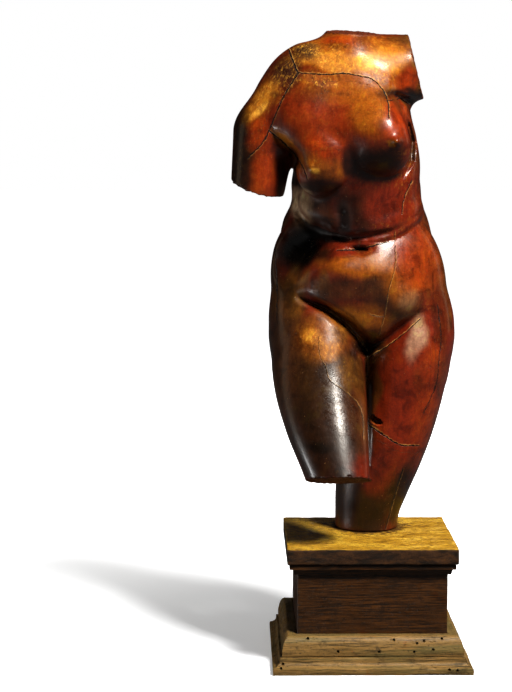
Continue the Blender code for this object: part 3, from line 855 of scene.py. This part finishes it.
def placed(name, data):
    """A new object in the scene."""
    made = bpy.data.objects.new(name, data)
    bpy.context.scene.collection.objects.link(made)
    return made


def piece(name, mesh, finish, nodes, quarter=0):
    """Adds a finished piece in place of the frame's nodes."""
    made = placed(name, mesh)
    mesh.materials.append(finish)
    made.rotation_euler = (0, 0, quarter * math.pi / 2)
    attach(made, "root")
    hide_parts(*nodes)
    return made


def torso(finish):
    """The carved figure, kept inside its solid's box."""
    low, high = (np.array(v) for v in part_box("venus_torso"))
    points, normals, quads = torso_points()
    raw = broken(points, normals)
    points = points * PART
    points[:, 2] += low[2]
    points = np.clip(points, low, high)
    mesh = bpy.data.meshes.new("torso_carving")
    mesh.from_pydata(points.tolist(), [], quads.tolist())
    mesh.update()
    mesh.shade_smooth()
    mesh.normals_split_custom_set_from_vertices(normals.tolist())
    set_values(mesh, "raw", raw)
    for name, values in painted(points, normals).items():
        set_values(mesh, name, values)
    return piece("torso_carving", mesh, finish, ["venus_torso"])


def mesh_of(work, name):
    """The worked form as a mesh."""
    mesh = bpy.data.meshes.new(name)
    work.to_mesh(mesh)
    work.free()
    return mesh


def points_of(mesh):
    """The places of a mesh's vertices, a row for each."""
    points = np.empty(len(mesh.vertices) * 3)
    mesh.vertices.foreach_get("co", points)
    return points.reshape(-1, 3)


def skin(name, low, high, cell):
    """The faces of a block as a fine mesh of squares."""
    counts = [max(2, round((high[i] - low[i]) / cell)) for i in range(3)]
    work = bmesh.new()
    found = {}

    def corner(at):
        if at not in found:
            found[at] = work.verts.new([low[i] + (high[i] - low[i]) * at[i] / counts[i] for i in range(3)])
        return found[at]

    for axis in range(3):
        a, b = (axis + 1) % 3, (axis + 2) % 3
        for end in (0, counts[axis]):
            for i in range(counts[a]):
                for j in range(counts[b]):
                    square = []
                    for di, dj in ((0, 0), (1, 0), (1, 1), (0, 1)):
                        at = [0, 0, 0]
                        at[axis], at[a], at[b] = end, i + di, j + dj
                        square.append(corner(tuple(at)))
                    work.faces.new(square if end else square[::-1])
    return mesh_of(work, name)


def worn_block(name, node, cell, ease, rough, finish, slot):
    """A block with unevenly eased arrises and a hand-worked surface."""
    low, high = (np.array(v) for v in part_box(node))
    mesh = skin(name, low, high, cell)
    points = points_of(mesh)
    radius = (ease * (0.25 + 0.75 * ramp(clouds(points, 0.012, 21), 0.35, 0.75)))[:, None]
    core = np.clip(points, low + radius, high - radius)
    out = points - core
    out /= np.linalg.norm(out, axis=1)[:, None]
    hewn = clouds(points * (0.35, 1, 1), 0.004, 25) * 0.6 + clouds(points, 0.016, 28) * 0.4
    points = core + out * (radius - rough * hewn[:, None])
    mesh.vertices.foreach_set("co", points.ravel())
    mesh.update()
    mesh.shade_smooth()
    return piece(name, mesh, finish, [node])


def refined(outline, cell):
    """The closed outline with a point at every step."""
    points = []
    for a, b in zip(outline, np.roll(outline, -1, axis=0)):
        count = max(1, round(math.dist(a, b) / cell))
        points += [a + (b - a) * i / count for i in range(count)]
    return np.array(points)


def holed(made, holes):
    """Bores the wormholes into a moulding: sideways place, height, radius and the face's reach."""
    work = bmesh.new()
    for x, z, radius, reach in holes:
        depth = WORM_DEPTH + WORM_CLEAR
        place = Matrix.Translation((x, -reach + WORM_DEPTH - depth / 2, z))
        bmesh.ops.create_cone(work, cap_ends=True, segments=10, radius1=radius, radius2=radius, depth=depth,
                              matrix=place @ Matrix.Rotation(math.pi / 2, 4, "X"))
    cutter = placed("worms", mesh_of(work, "worms"))
    cutter.matrix_world = made.matrix_world
    bored = made.modifiers.new("bored", "BOOLEAN")
    bored.operation = "DIFFERENCE"
    bored.object = cutter
    bpy.context.view_layer.update()
    seen_mesh = made.evaluated_get(bpy.context.evaluated_depsgraph_get())
    kept = bpy.data.meshes.new_from_object(seen_mesh)
    made.modifiers.clear()
    made.data = kept
    bpy.data.objects.remove(cutter, do_unlink=True)


def moulding(node, profile, reach, low, high, quarter, finish, wear, holes=()):
    """One side of a moulding, mitred, its profile worn unevenly along its length."""
    name = "worn_" + node
    inner = DIE_HALF + FIT
    mitre = FIT / math.sqrt(2)
    outline = [(max(inner, DIE_HALF + out * reach), low + up * (high - low)) for out, up in profile]
    sharp = refined(np.array(outline), MOULDING_STEP)
    eased = sharp.copy()
    for turn in range(EASINGS):
        eased = 0.5 * eased + 0.25 * (np.roll(eased, 1, axis=0) + np.roll(eased, -1, axis=0))
    count = len(sharp)
    columns = MOULDING_COLUMNS
    t = np.linspace(-1, 1, columns + 1)[:, None]
    out, up = (np.broadcast_to(each, (columns + 1, count)) for each in sharp.T)
    base = np.stack([t * (sharp[:, 0] - mitre), -out, up], axis=2)
    soft = base.copy()
    soft[:, :, 1] = -eased[:, 0]
    soft[:, :, 2] = eased[:, 1]
    flat = base.reshape(-1, 3)
    patchy = clouds(flat * (0.5, 1, 1), 0.012, 31 + 3 * quarter)
    share = wear * (0.25 + 0.75 * ramp(patchy, 0.35, 0.7))
    outer = ramp(-flat[:, 1], inner + WEAR_FROM, inner + WEAR_FULL)
    points = flat + (soft.reshape(-1, 3) - flat) * (share * outer)[:, None]
    points[:, 1] += outer * MOULDING_ROUGH * clouds(flat * (0.3, 1, 1), 0.005, 41 + quarter)
    faces = []
    for j in range(columns):
        for i in range(count):
            k = (i + 1) % count
            faces.append((j * count + i, j * count + k, (j + 1) * count + k, (j + 1) * count + i))
    faces.append(list(range(count))[::-1])
    faces.append(list(range(columns * count, (columns + 1) * count)))
    mesh = bpy.data.meshes.new(name)
    mesh.from_pydata(points.tolist(), [], faces)
    work = bmesh.new()
    work.from_mesh(mesh)
    bmesh.ops.recalc_face_normals(work, faces=work.faces)
    work.to_mesh(mesh)
    work.free()
    mesh.shade_smooth()
    mesh.set_sharp_from_angle(angle=math.radians(38))
    made = piece(name, mesh, finish, [node], quarter)
    if holes:
        holed(made, holes)
    return made


class Finish:
    """A material built from shader nodes."""

    def __init__(self, name):
        self.made = bpy.data.materials.new(name)
        self.made.use_nodes = True
        self.tree = self.made.node_tree
        self.shader = self.tree.nodes["Principled BSDF"]
        self.where = self.tree.nodes.new("ShaderNodeTexCoord").outputs["Object"]

    def node(self, kind, inputs, **settings):
        made = self.tree.nodes.new("ShaderNode" + kind)
        for key, value in settings.items():
            setattr(made, key, value)
        for key, value in inputs.items():
            self.put(made.inputs[key], value)
        return made

    def put(self, socket, value):
        """Links or sets an input; a word is the name of a tint."""
        if isinstance(value, str):
            value = (*linear(TINTS[value]), 1)
        if isinstance(value, bpy.types.NodeSocket):
            self.tree.links.new(value, socket)
        else:
            socket.default_value = value

    def set(self, name, value):
        self.put(self.shader.inputs[name], value)

    def noise(self, scale, detail=5, rough=0.6, stretch=(1, 1, 1), bend=0.0):
        place = (scale * 0.01, 0.3, 0.7)
        at = self.node("Mapping", {"Vector": self.where, "Scale": stretch, "Location": place})
        made = self.node("TexNoise", {"Vector": at.outputs[0], "Scale": scale, "Detail": detail,
                                      "Roughness": rough, "Distortion": bend})
        return made.outputs[0]

    def span(self, value, low, high, start=0.0, end=1.0):
        """Eases from start at low to end at high."""
        made = self.node("MapRange", {"Value": value, "From Min": low, "From Max": high, "To Min": start,
                                      "To Max": end}, interpolation_type="SMOOTHSTEP")
        return made.outputs[0]

    def reckon(self, operation, a, b=0.0):
        return self.node("Math", {0: a, 1: b}, operation=operation).outputs[0]

    def times(self, a, b):
        return self.reckon("MULTIPLY", a, b)

    def plus(self, a, b):
        return self.reckon("ADD", a, b)

    def minus(self, a, b):
        return self.reckon("SUBTRACT", a, b)

    def weighed(self, *parts):
        """The sum of values, each times its weight."""
        total = 0.0
        for value, weight in parts:
            total = self.plus(total, self.times(value, weight))
        return total

    def vector(self, operation, a, b):
        return self.node("VectorMath", {0: a, 1: b}, operation=operation).outputs[0]

    def size(self, a):
        return self.node("VectorMath", {0: a}, operation="LENGTH").outputs["Value"]

    def scaled(self, shade, light):
        return self.node("VectorMath", {0: shade, "Scale": light}, operation="SCALE").outputs[0]

    def mix(self, share, a, b, way="MIX"):
        return self.node("Mix", {0: share, 6: a, 7: b}, data_type="RGBA", blend_type=way).outputs[2]

    def parts(self, vector):
        return self.node("SeparateXYZ", {0: vector}).outputs

    def value(self, name, output="Fac"):
        return self.node("Attribute", {}, attribute_name=name).outputs[output]

    def finish(self, colour, roughness, height, depth, coat_roughness=0.1):
        bump = self.node("Bump", {"Height": height, "Strength": 1.0, "Distance": depth})
        self.set("Base Color", colour)
        self.set("Roughness", roughness)
        self.set("Normal", bump.outputs[0])
        self.set("Coat Roughness", coat_roughness)
        return self.made


def lacquered():
    """The torso: wood under thick lacquer, with worn golden patches and drying cracks."""
    f = Finish("lacquered_wood")
    # the painted colour, its painted shade and highlights included
    tint = f.value("tint", "Color")
    rubbed = f.value("worn")
    worn = f.reckon("POWER", rubbed, 2.0)
    raw = f.value("raw")
    broad = f.noise(75, 6, 0.62, bend=0.5)
    middle = f.noise(190, 6, 0.66, bend=0.3)
    small = f.noise(560, 6, 0.7)
    fleck = f.noise(380, 8, 0.8, stretch=(1, 1, 0.6), bend=0.3)
    streak = f.noise(300, 5, 0.65, stretch=(1, 1, 0.09), bend=0.5)
    umber = f.mix(1.0, tint, "umber", "MULTIPLY")
    lifted = f.vector("MULTIPLY", tint, (1.25, 1.65, 1.3))
    shade = f.mix(f.span(broad, 0.46, 0.7, 0.0, 0.6), tint, umber)
    shade = f.mix(f.span(broad, 0.46, 0.34, 0.0, 0.7), shade, lifted)
    warmer = f.mix(1.0, shade, "warm", "MULTIPLY")
    shade = f.mix(f.times(f.span(middle, 0.52, 0.7), 0.35), shade, warmer)
    worn = f.times(worn, f.span(middle, 0.38, 0.58, 0.2, 1.0))
    shade = f.mix(f.times(f.span(fleck, 0.5, 0.62), worn), shade, "straw")
    darker = f.mix(0.8, shade, "umber", "MULTIPLY")
    shade = f.mix(f.times(f.span(fleck, 0.47, 0.34), worn), shade, darker)
    light = f.times(f.span(small, 0.25, 0.75, 0.8, 1.16), f.span(streak, 0.3, 0.7, 0.8, 1.12))
    shade = f.scaled(shade, light)
    speck = f.times(f.span(f.noise(1150, 2, 0.5), 0.66, 0.72), f.span(broad, 0.42, 0.6))
    shade = f.mix(f.times(speck, 0.8), shade, "black_and_painted_shade")
    chip = f.noise(900, 2, 0.5, stretch=(1, 1, 0.8))
    chip = f.times(f.span(chip, 0.7, 0.74), f.span(middle, 0.5, 0.6))
    shade = f.mix(f.times(chip, 0.6), shade, "pale")
    wobble = f.times(f.minus(f.noise(330, 3, 0.6), 0.5), 2.6)
    thick = f.span(f.noise(240, 3, 0.6), 0.3, 0.7, 0.45, 1.25)
    line, width, rims = (f.parts(f.value(name, "Vector")) for name in ("line", "width", "rims"))
    dark = 0.0
    pale = 0.0
    for i in range(3):
        off = f.plus(line[i], wobble)
        wide = f.times(width[i], thick)
        shown = f.span(width[i], 0.02, 0.25)
        core = f.span(f.minus(f.reckon("ABSOLUTE", off), wide), 0.45, -0.15)
        dark = f.reckon("MAXIMUM", dark, f.times(core, shown))
        beside = f.reckon("ABSOLUTE", f.minus(off, f.plus(wide, 0.5)))
        rim = f.times(f.span(beside, 0.9, 0.2), f.times(shown, rims[i]))
        pale = f.reckon("MAXIMUM", pale, rim)
    pale = f.times(pale, f.span(middle, 0.42, 0.6, 0.2, 0.9))
    shade = f.mix(pale, shade, "pale")
    shade = f.mix(f.times(dark, 0.96), shade, "black_and_painted_shade")
    bare = f.mix(f.span(small, 0.35, 0.65), "dark", "rust")
    shade = f.mix(f.times(raw, 0.8), shade, bare)
    matt = f.value("matt")
    rough = f.weighed((f.span(middle, 0.3, 0.7, 0.28, 0.36), 1.0), (f.reckon("MAXIMUM", dark, raw), 0.35),
                      (f.span(small, 0.4, 0.7), 0.05), (f.span(rubbed, 0.5, 1.0), 0.3), (matt, 0.25))
    coat = f.times(f.span(rubbed, 0.4, 0.9, 0.22, 0.03), f.span(matt, 0.0, 1.0, 1.0, 0.1))
    f.set("Coat Weight", f.times(coat, f.span(raw, 0.0, 0.5, 1.0, 0.0)))
    torn = f.times(raw, f.noise(420, 6, 0.7))
    height = f.weighed((f.noise(110, 3, 0.5), 0.3), (small, 0.09), (streak, 0.05), (dark, -0.6),
                       (speck, -0.14), (chip, -0.14), (pale, 0.1), (torn, 1.6))
    f.set("Specular IOR Level", 0.36)
    return f.finish(shade, rough, height, 0.0008, coat_roughness=0.13)


def grained(name, dark, light, accent, low, high, gloss, depth, coat):
    """Plinth wood with its grain along the piece."""
    f = Finish(name)
    grain = f.noise(780, 8, 0.75, stretch=(0.045, 1, 1), bend=0.3)
    bands = f.noise(90, 5, 0.65, stretch=(0.1, 1, 1), bend=0.6)
    blots = f.noise(70, 7, 0.7)
    small = f.noise(1100, 4, 0.65, stretch=(0.3, 1, 1))
    shade = f.mix(f.span(grain, low, high), dark, light)
    shade = f.mix(f.span(bands, 0.45, 0.65, 0.0, 0.5), shade, accent)
    shade = f.mix(f.span(blots, 0.54, 0.68, 0.0, 0.6), shade, dark)
    warmer = f.mix(1.0, shade, "warm", "MULTIPLY")
    shade = f.mix(f.span(blots, 0.42, 0.3, 0.0, 0.5), shade, warmer)
    pores = f.span(small, 0.58, 0.68)
    shade = f.mix(f.times(pores, 0.65), shade, "black_and_painted_shade")
    rough = f.span(blots, 0.35, 0.65, gloss, gloss + 0.2)
    height = f.weighed((grain, 0.5), (blots, 0.6), (pores, -0.35))
    f.set("Specular IOR Level", 0.3)
    f.set("Coat Weight", coat)
    return f.finish(shade, rough, height, depth, coat_roughness=0.25)


def footprint(made):
    """Middle and half widths of the torso where it meets the cap."""
    points = points_of(made.data)
    foot = points[points[:, 2] < points[:, 2].min() + FOOT_EDGE, :2]
    low, high = foot.min(axis=0), foot.max(axis=0)
    return (low + high) / 2, (high - low) / 2


def hewn_cap(middle, half):
    """The cap: a worn ochre top with dark streaks, a ragged dark ring at the foot of debris and painted
    contact shade, and dark edges.
    """
    f = Finish("hewn_cap")
    facing = f.parts(f.node("NewGeometry", {}).outputs["Normal"])[2]
    streak = f.noise(640, 8, 0.85, stretch=(0.35, 1, 1), bend=0.4)
    blots = f.noise(60, 7, 0.72, stretch=(0.7, 1, 1), bend=0.6)
    small = f.noise(1100, 5, 0.75)
    top = f.mix(f.span(streak, 0.38, 0.55), "cap_dark", "ochre")
    top = f.mix(f.times(f.span(blots, 0.46, 0.64), f.span(streak, 0.4, 0.6)), top, "bright_ochre")
    top = f.mix(f.times(f.span(blots, 0.45, 0.3), 0.75), top, "cap_dark")
    off = f.vector("SUBTRACT", f.where, (*middle, 0))
    off = f.size(f.vector("MULTIPLY", off, (1 / half[0], 1 / half[1], 0)))
    ring = f.plus(off, f.times(f.minus(f.noise(190, 6, 0.75), 0.5), 3.0))
    # dark ring round the foot: debris and painted contact shade
    top = f.mix(f.span(ring, 1.05, 1.4, 0.9, 0.0), top, "umber_wood")
    edge = f.noise(140, 6, 0.7, stretch=(0.4, 1, 1), bend=0.5)
    side = f.mix(f.span(edge, 0.36, 0.6), "die_dark", "umber_wood")
    side = f.mix(f.span(edge, 0.6, 0.7), side, "cap_dark")
    shade = f.mix(f.span(facing, 0.35, 0.9), side, top)
    shade = f.scaled(shade, f.span(small, 0.3, 0.7, 0.5, 1.38))
    rough = f.span(blots, 0.3, 0.7, 0.42, 0.62)
    height = f.weighed((streak, 1.0), (small, 0.25))
    f.set("Specular IOR Level", 0.3)
    return f.finish(shade, rough, height, 0.001)


def softbox(name, turn, rise, wide, tall, watts, away=LIGHTS_AWAY, tone=(1, 1, 1), lights=True, gloss=True):
    """A soft light: degrees round to the right and up, size, power, distance, tone and what it acts on."""
    made = bpy.data.lights.new(name, "AREA")
    made.shape = "RECTANGLE"
    made.size = wide
    made.size_y = tall
    made.energy = watts
    made.color = tone
    a, b = math.radians(turn), math.radians(rise)
    way = Vector((math.sin(a) * math.cos(b), -math.cos(a) * math.cos(b), math.sin(b)))
    light = placed(name, made)
    light.location = Vector(LIT) + way * away
    light.rotation_euler = way.to_track_quat("Z", "Y").to_euler()
    light.visible_diffuse = lights
    light.visible_glossy = gloss


def floor():
    """A white floor that runs out into the background; its glow is lower near the object, painted shade
    that deepens the cast shadow there.
    """
    work = bmesh.new()
    bmesh.ops.create_grid(work, x_segments=4, y_segments=4, size=FLOOR_REACH)
    made = placed("floor", mesh_of(work, "floor"))
    f = Finish("floor_white")
    shown = f.node("LightPath", {}).outputs["Is Camera Ray"]
    white = f.mix(shown, (FLOOR_BOUNCE, FLOOR_BOUNCE, FLOOR_BOUNCE, 1), (0.8, 0.8, 0.8, 1))
    # lower glow near the object: painted shade under the cast shadow
    glow = f.span(f.size(f.where), *FLOOR_SHADE, FLOOR_GLOW, 1.0)
    glow = f.times(glow, f.span(shown, 0, 1, FLOOR_DIM, 1.0))
    f.set("Base Color", white)
    f.set("Roughness", 0.9)
    f.set("Emission Color", (1, 1, 1, 1))
    f.set("Emission Strength", glow)
    f.set("Specular IOR Level", 0.0)
    made.data.materials.append(f.made)
    made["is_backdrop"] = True


def sky():
    """White where the camera looks, dim to all else."""
    world = bpy.data.worlds.new("sky")
    world.use_nodes = True
    bpy.context.scene.world = world
    nodes, links = world.node_tree.nodes, world.node_tree.links
    shown = nodes.new("ShaderNodeLightPath").outputs["Is Camera Ray"]
    strength = nodes.new("ShaderNodeMapRange")
    links.new(shown, strength.inputs["Value"])
    strength.inputs["To Min"].default_value = SKY_DIM
    strength.inputs["To Max"].default_value = 1.0
    links.new(strength.outputs[0], nodes["Background"].inputs["Strength"])
    nodes["Background"].inputs["Color"].default_value = (1, 1, 1, 1)


def camera():
    """The camera that took the photograph."""
    data = bpy.data.cameras.new("camera")
    data.sensor_width = 36
    data.lens = FOCAL / TALL * 36
    made = placed("camera", data)
    made.location = CAMERA_PLACE
    made.rotation_euler = (CAMERA_TILT, 0, CAMERA_TURN)
    bpy.context.scene.camera = made


def worms(side, low, high, profile, reach):
    """Places of the wormholes on one side of a moulding."""
    levels = [up for out, up in profile[1:-1]]
    reaches = [DIE_HALF + out * reach for out, up in profile[1:-1]]
    found = []
    if side == "front":
        for across, down in WORMHOLES:
            at = place_of(across, down, -DIE_HALF - 0.8 * reach)
            found.append((at.x, at.z, WORM_RADIUS))
    else:
        chance = np.random.default_rng(len(side) * 13 + int(low * 1e4))
        for spot in range(WORM_TRIES):
            x = chance.uniform(-0.9, 0.9) * DIE_HALF
            z = low + chance.uniform(0.15, 0.85) * (high - low)
            found.append((x, z, chance.uniform(0.6, 1) * WORM_RADIUS))
    holes = []
    for x, z, radius in found:
        up = (z - low) / (high - low)
        if 0.1 < up < 0.9:
            holes.append((x, z, radius, float(np.interp(up, levels, reaches))))
    return holes


foot, foot_half = footprint(torso(lacquered()))
die_wood = grained("die_wood", "die_dark", "die", "die_red", 0.4, 0.62, 0.38, 0.0005, 0.15)
base_wood = grained("base_wood", "base_dark", "base", "base_olive", 0.35, 0.57, 0.32, 0.0006, 0.2)
worn_block("hewn_cap", "plinth_cap", *CAP_SKIN, hewn_cap(foot, foot_half), "plinth_wood")
worn_block("die_block", "plinth_die", *DIE_SKIN, die_wood, "plinth_wood")
upper_low = LOWER_HIGH + FIT
mouldings = (
    ("cap_moulding_", BED_PROFILE, BED_REACH, DIE_TOP - BED_HIGH, DIE_TOP, die_wood, "plinth_wood", 0.6),
    ("base_moulding_upper_", UPPER_PROFILE, UPPER_REACH, upper_low, upper_low + UPPER_HIGH, base_wood,
     "base_wood", 1.0),
    ("base_moulding_lower_", LOWER_PROFILE, LOWER_REACH, 0, LOWER_HIGH, base_wood, "base_wood", 1.0),
)
for quarter, side in enumerate(("front", "right", "back", "left")):
    for name, profile, reach, low, high, finish, slot, wear in mouldings:
        holes = worms(side, low, high, profile, reach) if finish is base_wood else ()
        moulding(name + side, profile, reach, low, high, quarter, finish, wear, holes)
floor()
sky()
camera()
softbox("key", 35, 48, 0.5, 0.6, 150, gloss=False)
softbox("sheen", 37, 46, 0.5, 0.62, 105, tone=(1, 0.97, 0.89), lights=False)
softbox("card", -96, 8, 0.8, 1.2, 2.4, tone=WARM_TONE)
softbox("low_card", -80, -18, 0.3, 0.16, 3.0, away=0.85)
softbox("back", 170, 14, 1.2, 1.2, 12, gloss=False)
softbox("rim", 112, 14, 0.4, 1.4, 2.5, tone=WARM_TONE)
bpy.context.scene.view_settings.view_transform = "Standard"
bpy.context.scene.view_settings.gamma = CONTRAST

low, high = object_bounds()
